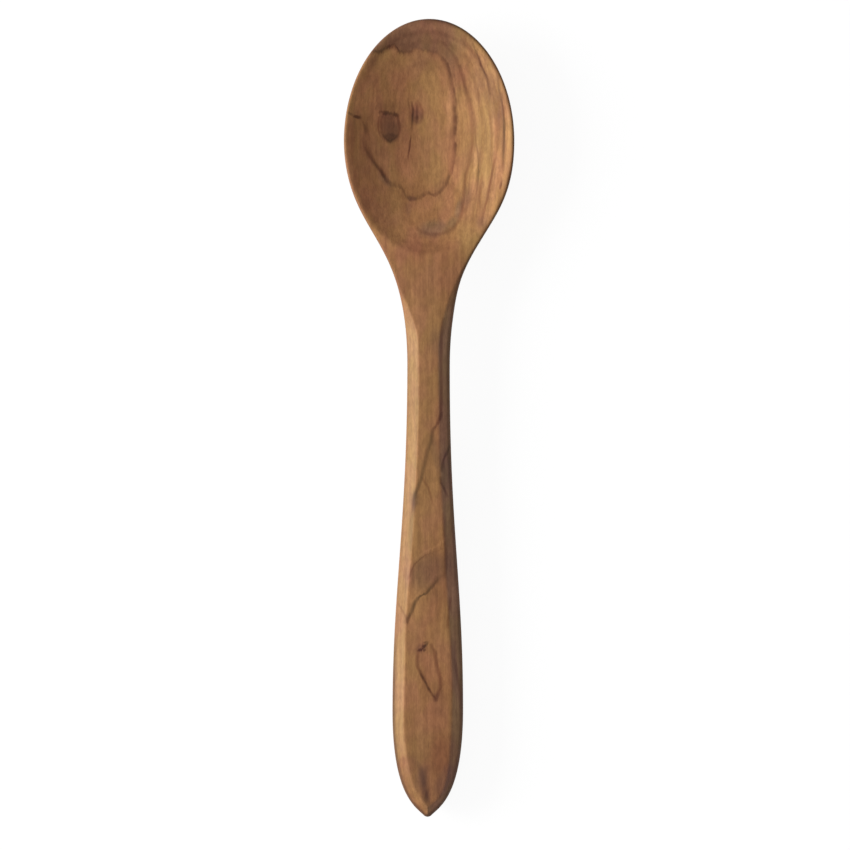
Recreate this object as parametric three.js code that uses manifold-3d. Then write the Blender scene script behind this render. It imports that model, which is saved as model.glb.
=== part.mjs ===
// A wooden spoon carved in one piece: an oval hollowed bowl, a flat-topped neck, and a handle with
// four chamfered edges that swells towards a pointed end.
// Millimetres, +Z up out of the bowl, +Y from the handle's point to the bowl's far end. The table is z = 0.
import * as THREE from "three";
import { mergeVertices } from "three/addons/utils/BufferGeometryUtils.js";
import Module from "manifold-3d";

const { lerp, smoothstep } = THREE.MathUtils;

// Lengths, in order from the bowl's far end to the handle's point
const NOSE_LENGTH = 46; // far end to the bowl's widest place
const HEEL_LENGTH = 84.6; // widest place to the handle's waist
const GRIP_LENGTH = 129.4; // waist to the handle's swell
const POINT_LENGTH = 40; // swell to the point

// Widths in plan
const BOWL_WIDTH = 64;
const WAIST_WIDTH = 16;
const SWELL_WIDTH = 26.6;
const NOSE_FLAT = 1.6; // the far end is cut off square at this width
const POINT_FLAT = 1.6; // and so is the point

// Reach of the plan curves' handles: how far each curve runs on before it bends away
const BOWL_REACH = 37;
const NECK_REACH = 53;
const WAIST_REACH = 60;
const GRIP_REACH = 47;
const SWELL_REACH = 33.4;
const POINT_REACH = 2.8; // across and along, so the two sides meet at a right angle

// Heights above the table
const RIM_HEIGHT = 16;
const RIM_EDGE = 2.2; // upright edge of the rim, its bevel included
const NECK_LIFT = 5; // underside of the neck
const SWELL_HEIGHT = 13.6; // top of the handle at its swell
const POINT_HEIGHT = 12.2; // top facet run out to the point
const POINT_LIFT = 1.6; // back facet run out to the point

// Underside: where it changes, as distances from the widest place and the swell, and how round it is
const BELLY_RUN = 56; // widest place to the end of the belly's rise
const BACK_RUN = 42; // length of the back's flat before the swell
const POINT_RUN = 8; // swell to where the back starts up
const BELLY_POWER = 0.85; // roundness of the bowl's underside: 1 is a paraboloid, 0.5 an ellipsoid

// Edges
const RIM_BEVEL = 0.35;
const CHAMFER = 4.2; // on all four long edges of the handle, measured across and down
const CHAMFER_START = 38; // before the waist, where the chamfers begin to grow out of the rim's bevel
const CHAMFER_FULL = 9; // before the waist, where they reach full width
const ROUND_START = 48; // before the waist, where the round belly begins to turn into chamfered faces
const ROUND_END = 6; // before the waist, where it has

// Hollow of the bowl
const RIM_SIDE = 0.9; // rim left beside the hollow
const RIM_NOSE = 1.4; // rim left at the far end
const HOLLOW_HEEL = 42.6; // widest place to the hollow's heel
const HOLLOW_DEPTH = 10.4;
const CUTTER_RISE = 5; // how far the hollow's cutter stands above the rim

// Steps of the loft and of the cutter
const NOSE_STEPS = 18;
const HEEL_STEPS = 30;
const GRIP_STEPS = 22;
const POINT_STEPS = 16;
const CHAMFER_STEPS = 3;
const UNDERSIDE_STEPS = 11; // rim to keel, chamfer included
const CUTTER_RINGS = 13;
const CUTTER_SIDES = 72;

// Stations, measured from the bowl's far end
const WIDEST = NOSE_LENGTH;
const WAIST = WIDEST + HEEL_LENGTH;
const SWELL = WAIST + GRIP_LENGTH;
const LENGTH = SWELL + POINT_LENGTH;
const HOLLOW_END = WIDEST + HOLLOW_HEEL;

const toY = (station) => LENGTH / 2 - station;

// Half of the plan outline: x is the half width, y the station
function planCurves() {
  const outline = new THREE.Path();
  outline.absellipse(0, WIDEST, BOWL_WIDTH / 2, NOSE_LENGTH, -Math.PI / 2, 0);
  outline.bezierCurveTo(
    BOWL_WIDTH / 2, WIDEST + BOWL_REACH,
    WAIST_WIDTH / 2, WAIST - NECK_REACH,
    WAIST_WIDTH / 2, WAIST,
  );
  outline.bezierCurveTo(
    WAIST_WIDTH / 2, WAIST + WAIST_REACH,
    SWELL_WIDTH / 2, SWELL - GRIP_REACH,
    SWELL_WIDTH / 2, SWELL,
  );
  outline.bezierCurveTo(
    SWELL_WIDTH / 2, SWELL + SWELL_REACH,
    POINT_FLAT / 2 + POINT_REACH, LENGTH - POINT_REACH,
    POINT_FLAT / 2, LENGTH,
  );
  return outline.curves;
}

// Places along the outline, each with its half width and how much wider a slanting edge measures across
function planPlaces() {
  const noseStart = Math.asin(NOSE_FLAT / BOWL_WIDTH) / (Math.PI / 2);
  const steps = [NOSE_STEPS, HEEL_STEPS, GRIP_STEPS, POINT_STEPS];
  return planCurves().flatMap((curve, part) => {
    const count = steps[part];
    const first = part === 0 ? 0 : 1;
    return Array.from({ length: count + 1 - first }, (_, i) => {
      const share = (i + first) / count;
      const at = part === 0 ? lerp(noseStart, 1, share) : share;
      const point = curve.getPoint(at);
      const slant = 1 / Math.abs(curve.getTangent(at).y);
      return { station: point.y, half: point.x, slant };
    });
  });
}

// Height of the top facet: level over the bowl, then falling to the swell and to the point
function topLine(station) {
  const fall = (RIM_HEIGHT - SWELL_HEIGHT) * smoothstep(station, HOLLOW_END, SWELL);
  const pointFall = (SWELL_HEIGHT - POINT_HEIGHT) * ((station - SWELL) / POINT_LENGTH) ** 2;
  return RIM_HEIGHT - fall - (station > SWELL ? pointFall : 0);
}

// Height of the underside's middle: the belly, the lifted neck, the flat back and the point
function keelLine(station) {
  if (station < WIDEST) {
    const reach = (WIDEST - station) / NOSE_LENGTH;
    return (RIM_HEIGHT - RIM_EDGE) * (1 - (1 - reach * reach) ** BELLY_POWER);
  }
  const up = smoothstep(station, WIDEST, WIDEST + BELLY_RUN);
  const down = smoothstep(station, WAIST, SWELL - BACK_RUN);
  const pointStart = SWELL + POINT_RUN;
  const pointUp = POINT_LIFT * ((station - pointStart) / (LENGTH - pointStart)) ** 2;
  return NECK_LIFT * (up - down) + (station > pointStart ? pointUp : 0);
}

// Right half of the section at a place, from the top facet's edge round to the keel: [x, z] points
function halfSection({ station, half, slant }) {
  const top = topLine(station);
  const keel = keelLine(station);
  const bowl = 1 - smoothstep(station, WAIST - ROUND_START, WAIST - ROUND_END);

  const upper = lerp(RIM_BEVEL, CHAMFER, smoothstep(station, WAIST - CHAMFER_START, WAIST - CHAMFER_FULL));
  const upperAcross = Math.min(half, upper * slant);
  const sideTop = top - upper;
  const topFacet = [half - upperAcross, sideTop + upperAcross / slant];

  const lowerAcross = Math.min(half, CHAMFER * slant);
  const sideFoot = lerp(keel + CHAMFER, top - RIM_EDGE, bowl);
  const backFacet = keel + CHAMFER - lowerAcross / slant;

  const underside = Array.from({ length: UNDERSIDE_STEPS + 1 }, (_, i) => {
    const onChamfer = Math.min(1, i / CHAMFER_STEPS);
    const onBack = Math.max(0, (i - CHAMFER_STEPS) / (UNDERSIDE_STEPS - CHAMFER_STEPS));
    const across = 1 - i / UNDERSIDE_STEPS;
    const faceX = (half - lowerAcross * onChamfer) * (1 - onBack);
    const faceZ = lerp(keel + CHAMFER, backFacet, onChamfer);
    const roundZ = keel + (top - RIM_EDGE - keel) * (1 - (1 - across * across) ** BELLY_POWER);
    return i === 0 ? [half, sideFoot] : [lerp(faceX, half * across, bowl), lerp(faceZ, roundZ, bowl)];
  });
  return [topFacet, [half, sideTop], ...underside];
}

// Closed ring of points at a place, clockwise seen from the handle's point
function ringAt(place) {
  const right = halfSection(place);
  const left = right.slice(0, -1).reverse().map(([x, z]) => [-x, z]);
  return [...right, ...left].map(([x, z]) => new THREE.Vector3(x, toY(place.station), z));
}

// Closed geometry through rings of equal count, with a fan over each end
function loft(rings) {
  const count = rings[0].length;
  const index = [];
  for (let row = 0; row + 1 < rings.length; row += 1) {
    for (let i = 0; i < count; i += 1) {
      const a = row * count + i;
      const b = row * count + ((i + 1) % count);
      index.push(a, a + count, b, b, a + count, b + count);
    }
  }
  const last = (rings.length - 1) * count;
  for (let i = 1; i + 1 < count; i += 1) {
    index.push(0, i, i + 1, last, last + i + 1, last + i);
  }
  const geometry = new THREE.BufferGeometry().setFromPoints(rings.flat());
  return geometry.setIndex(index);
}

// Oval cutter for the hollow: a paraboloid turned at radius 1 and stretched to the oval
function hollowCutter() {
  const profile = Array.from({ length: CUTTER_RINGS + 1 }, (_, i) => {
    const radius = Math.sin((Math.PI / 2) * (i / CUTTER_RINGS));
    return new THREE.Vector2(radius, -HOLLOW_DEPTH * (1 - radius * radius));
  });
  profile[0].x = 0;
  profile.push(new THREE.Vector2(1, CUTTER_RISE), new THREE.Vector2(0, CUTTER_RISE));
  const geometry = new THREE.LatheGeometry(profile, CUTTER_SIDES);
  geometry.rotateX(Math.PI / 2);
  geometry.scale(BOWL_WIDTH / 2 - RIM_SIDE, (HOLLOW_END - RIM_NOSE) / 2, 1);
  return geometry.translate(0, toY((HOLLOW_END + RIM_NOSE) / 2), RIM_HEIGHT);
}

const wasm = await Module();
wasm.setup();

function solidOf(geometry) {
  const bare = new THREE.BufferGeometry();
  bare.setAttribute("position", geometry.getAttribute("position"));
  bare.setIndex(geometry.getIndex());
  const merged = mergeVertices(bare, 1e-4);
  return new wasm.Manifold(new wasm.Mesh({
    numProp: 3,
    vertProperties: Float32Array.from(merged.getAttribute("position").array),
    triVerts: Uint32Array.from(merged.getIndex().array),
  }));
}

function geometryOf(solid) {
  const mesh = solid.getMesh();
  const geometry = new THREE.BufferGeometry();
  geometry.setAttribute("position", new THREE.BufferAttribute(mesh.vertProperties, 3));
  geometry.setIndex(new THREE.BufferAttribute(mesh.triVerts, 1));
  geometry.computeVertexNormals();
  return geometry;
}

const blank = solidOf(loft(planPlaces().map(ringAt)));
const carved = blank.subtract(solidOf(hollowCutter()));

const teak = new THREE.MeshStandardMaterial({ color: 0x9a6e45, roughness: 0.6, metalness: 0 });
const spoon = new THREE.Mesh(geometryOf(carved), teak);
spoon.name = "carved_spoon";

const part = new THREE.Group();
part.name = "wooden_spoon";
part.add(spoon);

export default part;
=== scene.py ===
"""Looks of the carved wooden spoon: a finely shaped and sanded body in teak, on a pale floor."""
import functools
import math

import bmesh
import bpy
import numpy as np
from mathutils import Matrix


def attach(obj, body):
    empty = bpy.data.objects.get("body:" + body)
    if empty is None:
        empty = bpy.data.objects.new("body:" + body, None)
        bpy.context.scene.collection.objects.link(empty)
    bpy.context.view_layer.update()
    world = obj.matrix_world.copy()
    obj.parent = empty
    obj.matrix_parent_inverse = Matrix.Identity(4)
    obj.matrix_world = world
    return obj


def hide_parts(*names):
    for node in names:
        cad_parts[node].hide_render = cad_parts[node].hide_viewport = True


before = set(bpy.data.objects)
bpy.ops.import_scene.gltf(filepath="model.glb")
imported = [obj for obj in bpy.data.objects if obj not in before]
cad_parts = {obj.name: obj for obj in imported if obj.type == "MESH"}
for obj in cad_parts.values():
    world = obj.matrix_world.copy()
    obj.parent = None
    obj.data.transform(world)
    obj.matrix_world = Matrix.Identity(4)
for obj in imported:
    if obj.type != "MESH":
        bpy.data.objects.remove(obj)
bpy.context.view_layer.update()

MM = 0.001  # the shape and the grain are worked out in millimetres

# Plan of the spoon, close to the solid's: distances run from the bowl's far end to the handle's point
NOSE_LENGTH = 46.0
HEEL_LENGTH = 84.6
GRIP_LENGTH = 129.4
POINT_LENGTH = 40.0
BOWL_HALF = 32.0
WAIST_HALF = 8.0
SWELL_HALF = 13.3
BOWL_REACH = 37.0
NECK_REACH = 53.0
WAIST_REACH = 60.0
GRIP_REACH = 47.0
SWELL_REACH = 31.8
POINT_REACH = 3.1
POINT_HALF = 1.4  # where the point's sides give way to its rounded end
POINT_ROUND = POINT_HALF * math.sqrt(2)  # the sides meet at a right angle

WIDEST = NOSE_LENGTH
WAIST = WIDEST + HEEL_LENGTH
SWELL = WAIST + GRIP_LENGTH
LENGTH = SWELL + POINT_LENGTH

# Heights above the table, and the runs along the spoon over which they change
RIM_HEIGHT = 16.0
RIM_EDGE = 2.2
NECK_LIFT = 5.0
SWELL_HEIGHT = 13.6
POINT_HEIGHT = 12.2
POINT_LIFT = 1.6
BELLY_RUN = 56.0
BACK_RUN = 42.0
POINT_RUN = 8.0
BELLY_POWER = 0.85  # how full the belly is

# Edges: the two upper chamfers differ on the left side (-1) and the right side (1)
RIM_BEVEL = 0.35
CHAMFER = 4.2
CHAMFER_START = {-1: 33.0, 1: 43.0}  # before the waist, as is the next
CHAMFER_FULL = 9.0
CHAMFER_WANDER = 0.22  # how far a chamfer's width wanders under the knife
WANDER_WAVES = (  # millimetres for each radian, the start, and its shift to either side of that
    (17.3, 0.0, 2.1),
    (7.9, 0.7, -1.3),
)
WANDER_RISE = 20.0  # after the waist
WANDER_FALL = 24.0  # before the point
WANDER_LAST = 4.0
POINT_TRIM = {-1: 0.6, 1: 1.5}  # how much narrower a chamfer gets towards the point
TRIM_START = 27.0  # before the point
TRIM_END = 7.0
RIDGE_START = 4.4  # from here to the point the two chamfers are alike, and meet in a ridge
SHOULDER = 1.6  # height of the shoulder at the top of the side
RIM_LEAN = 0.3  # how far it leans out on the rim
SIDE_LEAN = 0.7  # and on the handle
RIM_PROUD = 0.06  # how far the rim's side stands out of the plan before sanding
ROUND_START = 48.0  # before the waist: where the round belly starts to turn into the handle's flat back
ROUND_END = 6.0

# Dips that the carving leaves in the outline: side, distance, reach to both sides along the spoon and depth
DIPS = (
    (-1, 66.0, 22.0, 0.4),
    (1, 98.0, 16.0, 0.4),
)

# Hollow of the bowl
RIM_SIDE = 0.9
RIM_NOSE = 1.4
HOLLOW_END = WIDEST + 42.6
HOLLOW_DEPTH = 10.4
HOLLOW_HALF = (HOLLOW_END - RIM_NOSE) / 2
HOLLOW_MIDDLE = LENGTH / 2 - RIM_NOSE - HOLLOW_HALF  # as y

# Sanding: how far the edges are eased, and the ripple it leaves
EDGE_SOFT = 0.34
RIM_SOFT = 0.5
RIPPLE = 0.045
RIPPLE_WAVES = ((3.1, 5.3), (-9.7, 4.1), (6.7, -2.9))  # millimetres for each radian, along and across
RIPPLE_START = 1.0  # of the third wave
RIPPLE_SHARE = 0.6  # of the third wave, beside the product of the other two
RIPPLE_EDGE = 2.0  # how far from the outline it reaches its full height

# Mesh: rings along each part of the plan, and points in each part of a ring
NOSE_RINGS = 84
HEEL_RINGS = 136
GRIP_RINGS = 120
POINT_RINGS = 62
ROUND_RINGS = 8
TOP_POINTS = 64
BACK_POINTS = 44
EDGE_POINTS = 36
BOWL_BAND = 3.6  # width of the edge band that the sanding rounds, on the bowl
GRIP_BAND = 5.6  # and on the handle
FACE_POINTS = 64  # points across a face of that band before it is rounded
SIDE_POINTS = 38  # and down its side
FINE_POINTS = 240  # points along the whole band while it is rounded
BELL_REACH = 3  # how many times the easing's width the rounding looks ahead and back
BEND_PULL = 1.2  # how many millimetres of length a radian of bend counts for when points are spread
SIDE_SHADE_REACH = {-1: 0.55, 1: 1.1}  # how far the painted shade of the left and the right side reaches onto the upper face
SMALLEST = 1e-6  # stands in for a half width of nothing
SAME_PLACE = 1e-7  # metres within which points are made one
NO_LENGTH = 1e-8  # metres under which an edge is taken out
MARKS = ("upper", "chamfer", "side")  # what the mesh says of each point, from 0 to 1, for its colour and for the painted shade on its sides


def smoothstep(value, low, high):
    share = np.clip((value - low) / (high - low), 0, 1)
    return share * share * (3 - 2 * share)


def mix(a, b, share):
    return a + (b - a) * share


def soft_min(a, b, reach):
    near = np.maximum(reach - np.abs(a - b), 0) / reach
    return np.minimum(a, b) - near * near * reach / 4


def bezier(start, lead, trail, end, count):
    """Points of a cubic curve after its start, and their directions."""
    t = np.linspace(0, 1, count + 1)[1:, None]
    start, lead, trail, end = map(np.array, (start, lead, trail, end))
    points = (1 - t) ** 3 * start + 3 * (1 - t) ** 2 * t * lead + 3 * (1 - t) * t * t * trail + t ** 3 * end
    ways = (1 - t) ** 2 * (lead - start) + 2 * (1 - t) * t * (trail - lead) + t * t * (end - trail)
    return points, ways


def plan_outline():
    """Right half of the outline as (half width, station) points, and the inward normal at each."""
    turn = np.linspace(0, math.pi / 2, NOSE_RINGS + 1)[:, None]
    nose = np.hstack([BOWL_HALF * np.sin(turn), NOSE_LENGTH * (1 - np.cos(turn))])
    nose_ways = np.hstack([BOWL_HALF * np.cos(turn), NOSE_LENGTH * np.sin(turn)])
    side_end = LENGTH - POINT_ROUND + POINT_HALF
    heel = bezier((BOWL_HALF, WIDEST), (BOWL_HALF, WIDEST + BOWL_REACH),
                  (WAIST_HALF, WAIST - NECK_REACH), (WAIST_HALF, WAIST), HEEL_RINGS)
    grip = bezier((WAIST_HALF, WAIST), (WAIST_HALF, WAIST + WAIST_REACH),
                  (SWELL_HALF, SWELL - GRIP_REACH), (SWELL_HALF, SWELL), GRIP_RINGS)
    point = bezier((SWELL_HALF, SWELL), (SWELL_HALF, SWELL + SWELL_REACH),
                   (POINT_HALF + POINT_REACH, side_end - POINT_REACH), (POINT_HALF, side_end), POINT_RINGS)
    turn = np.linspace(math.pi / 4, 0, ROUND_RINGS + 1)[1:, None]
    tip = np.hstack([POINT_ROUND * np.sin(turn), LENGTH - POINT_ROUND * (1 - np.cos(turn))])
    tip_ways = np.hstack([-np.cos(turn), np.sin(turn)])
    points = np.vstack([nose, heel[0], grip[0], point[0], tip])
    ways = np.vstack([nose_ways, heel[1], grip[1], point[1], tip_ways])
    ways /= np.linalg.norm(ways, axis=1, keepdims=True)
    return points, np.column_stack([-ways[:, 1], ways[:, 0]])


outline, inward = plan_outline()


def top_line(station):
    fall = (RIM_HEIGHT - SWELL_HEIGHT) * smoothstep(station, HOLLOW_END, SWELL)
    point_fall = (SWELL_HEIGHT - POINT_HEIGHT) * (np.maximum(station - SWELL, 0) / POINT_LENGTH) ** 2
    return RIM_HEIGHT - fall - point_fall


def keel_line(station):
    reach = np.clip((WIDEST - station) / NOSE_LENGTH, 0, 1)
    nose = (RIM_HEIGHT - RIM_EDGE) * (1 - (1 - reach * reach) ** BELLY_POWER)
    up = smoothstep(station, WIDEST, WIDEST + BELLY_RUN)
    down = smoothstep(station, WAIST, SWELL - BACK_RUN)
    point_start = SWELL + POINT_RUN
    point_up = POINT_LIFT * (np.maximum(station - point_start, 0) / (LENGTH - point_start)) ** 2
    return nose + NECK_LIFT * (up - down) + point_up


def dip(station, side):
    """How far the carved outline lies inside the plan."""
    dips = [values for which, *values in DIPS if which == side]
    return sum(depth * smoothstep(np.abs(station - at), reach, 0) for at, reach, depth in dips)


def wander(station, side):
    """A slow wave between -1 and 1, another on each side, that dies out at both ends."""
    waves = [np.sin(station / pace + start + shift * side) for pace, start, shift in WANDER_WAVES]
    rise = smoothstep(station, WAIST - CHAMFER_FULL, WAIST + WANDER_RISE)
    return sum(waves) / len(waves) * rise * smoothstep(LENGTH - station, WANDER_LAST, WANDER_FALL)


def growth(station, side):
    """How far a chamfer has grown out of the rim's bevel, from 0 to 1."""
    return smoothstep(station, WAIST - CHAMFER_START[side], WAIST - CHAMFER_FULL)


def bevel(station, side):
    """Width of the edge's bevel, which grows into the chamfer and narrows towards the point."""
    grown = growth(station, side)
    even = sum(POINT_TRIM.values()) / len(POINT_TRIM)
    trim = mix(POINT_TRIM[side], even, smoothstep(station, LENGTH - TRIM_END, LENGTH - RIDGE_START))
    trim = trim * smoothstep(station, LENGTH - TRIM_START, LENGTH - TRIM_END)
    return mix(RIM_BEVEL, CHAMFER, grown) - trim + CHAMFER_WANDER * wander(station, side)


def ripple(x, station):
    """Slight unevenness that hand sanding leaves on the upper face."""
    first, second, third = (station / along + x / across for along, across in RIPPLE_WAVES)
    return RIPPLE * (np.sin(first) * np.sin(second) + RIPPLE_SHARE * np.sin(third + RIPPLE_START))


def top_height(x, station, inset, side):
    """Height of the upper face at a place that lies inset from the outline."""
    level = top_line(station)
    face = soft_min(level, level - bevel(station, side) + inset, EDGE_SOFT)
    radius = (x / (BOWL_HALF - RIM_SIDE)) ** 2 + ((station - RIM_NOSE - HOLLOW_HALF) / HOLLOW_HALF) ** 2
    hollow = RIM_HEIGHT - HOLLOW_DEPTH * (1 - radius)
    return soft_min(face, hollow, RIM_SOFT) + ripple(x, station) * smoothstep(inset, 0, RIPPLE_EDGE)


def back_height(x, station, inset):
    """Height of the underside at a place that lies inset from the outline."""
    keel = keel_line(station)
    faces = np.maximum(keel, keel + CHAMFER - inset)
    plan = np.interp(station, outline[:, 1], outline[:, 0])
    half = plan - np.where(x < 0, dip(station, -1), dip(station, 1))
    across = np.minimum(np.abs(x) / np.maximum(half, SMALLEST), 1)
    belly = mix(keel, top_line(station) - RIM_EDGE, 1 - (1 - across * across) ** BELLY_POWER)
    return mix(faces, belly, 1 - smoothstep(station, WAIST - ROUND_START, WAIST - ROUND_END))


def eased(profile):
    """Rounds a line's corners as sanding does, and spreads points along it, closer where it bends."""
    arc = np.concatenate([[0], np.cumsum(np.linalg.norm(np.diff(profile[:, :2], axis=0), axis=1))])
    even = np.linspace(0, arc[-1], FINE_POINTS)
    line = np.column_stack([np.interp(even, arc, column) for column in profile.T])
    spacing = even[1]
    reach = int(BELL_REACH * EDGE_SOFT / spacing)
    weights = np.exp(-0.5 * (np.arange(-reach, reach + 1) * spacing / EDGE_SOFT) ** 2)
    before = 2 * line[0] - line[reach:0:-1]
    after = 2 * line[-1] - line[-2:-reach - 2:-1]
    padded = np.vstack([before, line, after])
    smooth = np.column_stack([np.convolve(column, weights / weights.sum(), "valid") for column in padded.T])
    heading = np.unwrap(np.arctan2(np.gradient(smooth[:, 1]), np.gradient(smooth[:, 0])))
    share = np.cumsum(spacing + BEND_PULL * np.abs(np.gradient(heading)))
    at = np.interp(np.linspace(share[0], share[-1], EDGE_POINTS), share, even)
    return np.column_stack([np.interp(at, even, column) for column in smooth.T])


def band_width(index, side):
    """How far one ring's edge band reaches in: at most to the middle."""
    (x, station), normal = outline[index], inward[index]
    width = mix(BOWL_BAND, GRIP_BAND, growth(station, side))
    if station < WIDEST:
        return width
    return min(width, x / -normal[0] if x > 0 else POINT_ROUND)


def edge_band(index, side):
    """Points of one ring's edge from the upper face over the side to the back: x, station, height, marks."""
    station, normal = outline[index, 1], inward[index]
    foot = outline[index] + dip(station, side) * normal
    grown = growth(station, side)
    width = band_width(index, side)
    lean = min(mix(RIM_LEAN, SIDE_LEAN, grown), width / 2)
    proud = RIM_PROUD * (1 - grown)
    fall = np.linspace(0, 1, SIDE_POINTS + 2)[1:-1]
    top_insets = np.linspace(width, lean, FACE_POINTS)
    places = foot + top_insets[:, None] * normal
    top = top_height(side * places[:, 0], places[:, 1], top_insets, side)
    cut = (top_insets < bevel(places[:, 1], side)) * grown
    back_insets = np.linspace(-proud, width, FACE_POINTS)
    places = foot + back_insets[:, None] * normal
    back = back_height(side * places[:, 0], places[:, 1], back_insets)
    depth = (top[-1] - back[0]) * fall
    on_face, off_face = np.ones(FACE_POINTS), np.zeros(FACE_POINTS)
    # The last mark places the sides' painted shade: on the side itself, and reaching onto the upper face
    profile = np.vstack([
        np.column_stack([top_insets, top, on_face, cut, smoothstep(top_insets - lean, SIDE_SHADE_REACH[side], 0)]),
        np.column_stack([mix(lean, -proud, np.minimum(depth / SHOULDER, 1)), top[-1] - depth, 1 - fall,
                         cut[-1] * (1 - fall), smoothstep(depth, 2 * SHOULDER, SHOULDER)]),
        np.column_stack([back_insets, back, off_face, off_face, off_face]),
    ])
    inset, height, *marks = eased(profile).T
    places = foot + inset[:, None] * normal
    return np.column_stack([side * places[:, 0], places[:, 1], height, *marks])


def ring(index):
    """One closed ring: upper face left to right, right edge, back right to left, left edge."""
    right, left = edge_band(index, 1), edge_band(index, -1)
    inset = min(band_width(index, 1), band_width(index, -1))
    top = np.linspace(left[0], right[0], TOP_POINTS + 1)
    top[1:-1, 2] = top_height(top[1:-1, 0], top[1:-1, 1], inset, 1)
    back = np.linspace(right[-1], left[-1], BACK_POINTS + 1)
    back[1:-1, 2] = back_height(back[1:-1, 0], back[1:-1, 1], inset)
    return np.vstack([top, right[1:], back[1:-1], left[:0:-1]])


def spoon_mesh():
    rings = np.array([ring(index) for index in range(len(outline))])
    count = rings.shape[1]
    points = rings.reshape(-1, rings.shape[2])
    places = np.column_stack([points[:, 0], LENGTH / 2 - points[:, 1], points[:, 2]]) * MM
    quads = []
    for row in range(len(rings) - 1):
        for i in range(count):
            a, b = row * count + i, row * count + (i + 1) % count
            quads.append((a, b, b + count, a + count))
    mesh = bpy.data.meshes.new("carved_spoon_shaped")
    mesh.from_pydata(places.tolist(), [], quads)
    for name, values in zip(MARKS, points[:, 3:].T):
        mesh.attributes.new(name, "FLOAT", "POINT").data.foreach_set("value", values.copy())
    form = bmesh.new()
    form.from_mesh(mesh)
    bmesh.ops.remove_doubles(form, verts=form.verts, dist=SAME_PLACE)
    bmesh.ops.dissolve_degenerate(form, edges=form.edges, dist=NO_LENGTH)
    bmesh.ops.recalc_face_normals(form, faces=form.faces)
    form.to_mesh(mesh)
    form.free()
    mesh.polygons.foreach_set("use_smooth", [True] * len(mesh.polygons))
    return mesh


spoon = bpy.data.objects.new("carved_spoon_shaped", spoon_mesh())
bpy.context.collection.objects.link(spoon)
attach(spoon, "root")
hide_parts("carved_spoon")


class Graph:
    """Adds shader nodes to a tree. An input given as a socket is linked, and a plain value is set on it."""

    def __init__(self, tree):
        self.tree = tree
        tree.nodes.clear()

    def node(self, kind, inputs, **settings):
        node = self.tree.nodes.new("ShaderNode" + kind)
        for name, value in settings.items():
            setattr(node, name, value)
        for key, value in inputs.items():
            if isinstance(value, bpy.types.NodeSocket):
                self.tree.links.new(value, node.inputs[key])
            else:
                node.inputs[key].default_value = value
        return node

    def add(self, kind, inputs, output=0, **settings):
        """One output of a new node."""
        return self.node(kind, inputs, **settings).outputs[output]

    def math(self, operation, *values):
        return self.add("Math", dict(enumerate(values)), operation=operation)

    def product(self, *values):
        return functools.reduce(functools.partial(self.math, "MULTIPLY"), values)

    def dot(self, first, second):
        return self.add("VectorMath", {0: first, 1: second}, "Value", operation="DOT_PRODUCT")

    def length(self, a, b):
        """Hypotenuse of two lengths."""
        return self.math("SQRT", self.math("ADD", self.product(a, a), self.product(b, b)))

    def largest(self, values):
        return functools.reduce(functools.partial(self.math, "MAXIMUM"), values)

    def span(self, value, low, high, first=0.0, last=1.0, ease="SMOOTHSTEP"):
        """Goes from first to last as the value goes from low to high."""
        inputs = {"Value": value, "From Min": low, "From Max": high, "To Min": first, "To Max": last}
        return self.add("MapRange", inputs, interpolation_type=ease, clamp=False)

    def shifted(self, value, noise, reach):
        """The value moved up or down by noise, at most by half the reach."""
        return self.math("MULTIPLY_ADD", self.math("SUBTRACT", noise, 0.5), reach, value)

    def curve(self, value, points):
        """Smooth curve through (value, result) points, for values from 0 to 1."""
        result = self.add("FloatCurve", {"Value": value})
        mapping = result.node.mapping
        mapping.use_clip = False
        mapping.extend = "HORIZONTAL"
        line = mapping.curves[0].points
        line[0].location, line[1].location = points[0], points[-1]
        for point in points[1:-1]:
            line.new(*point)
        mapping.update()
        return result

    def noise(self, place, size, detail):
        """Noise from 0 to 1 whose blots have the given size along x, y and z."""
        fitted = self.add("Mapping", {"Vector": place, "Scale": [1 / length for length in size]})
        return self.add("TexNoise", {"Vector": fitted, "Scale": 1.0, "Detail": detail})

    def stain(self, colour, mask, tint):
        """The colour times the tint where the mask is 1."""
        return self.mixed(mask, colour, tint, "MULTIPLY")

    def blend(self, first, second, share):
        return self.mixed(share, first, second, "MIX")

    def mixed(self, share, first, second, how):
        """The Mix node takes colours in its inputs 6 and 7, and gives their mix in its output 2."""
        pair = [(*value, 1) if isinstance(value, tuple) else value for value in (first, second)]
        return self.add("Mix", {0: share, 6: pair[0], 7: pair[1]}, 2, data_type="RGBA", blend_type=how)


# Teak: colours are linear, and a tint multiplies the wood's colour
GOLD = (0.486, 0.243, 0.095)
RUST = (0.455, 0.207, 0.084)
TAN = (0.80, 0.79, 0.81)
BLUSH = (1.02, 1.03, 1.06)
STRAW = (0.98, 1.05, 0.99)
BROWN = (0.57, 0.56, 0.675)
ROSE = (0.92, 0.80, 0.90)
MAUVE = (0.72, 0.73, 0.86)
# Painted light on the chamfers: a painted sheen on the left one, which faces the lamp, and a cooler painted
# shade on the right one
LIT_CHAMFER_SHEEN = (1.12, 1.31, 1.40)
SHADED_CHAMFER_TINT = (1.15, 1.30, 1.78)
# Partly wear and partly a painted highlight: lighter along the crest between a chamfer and the upper face
WEAR_AND_HIGHLIGHT = (1.12, 1.10, 1.12)
AMBER = (0.80, 0.70, 0.62)
KNOT = (0.56, 0.50, 0.64)
SMOKE = (0.62, 0.73, 0.90)
MOSS = (0.33, 0.34, 0.36)
UMBER = (0.40, 0.31, 0.35)
RUSSET = (0.60, 0.50, 0.52)
SLATE = (0.40, 0.39, 0.54)
PALE = (1.24, 1.25, 1.30)
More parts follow.
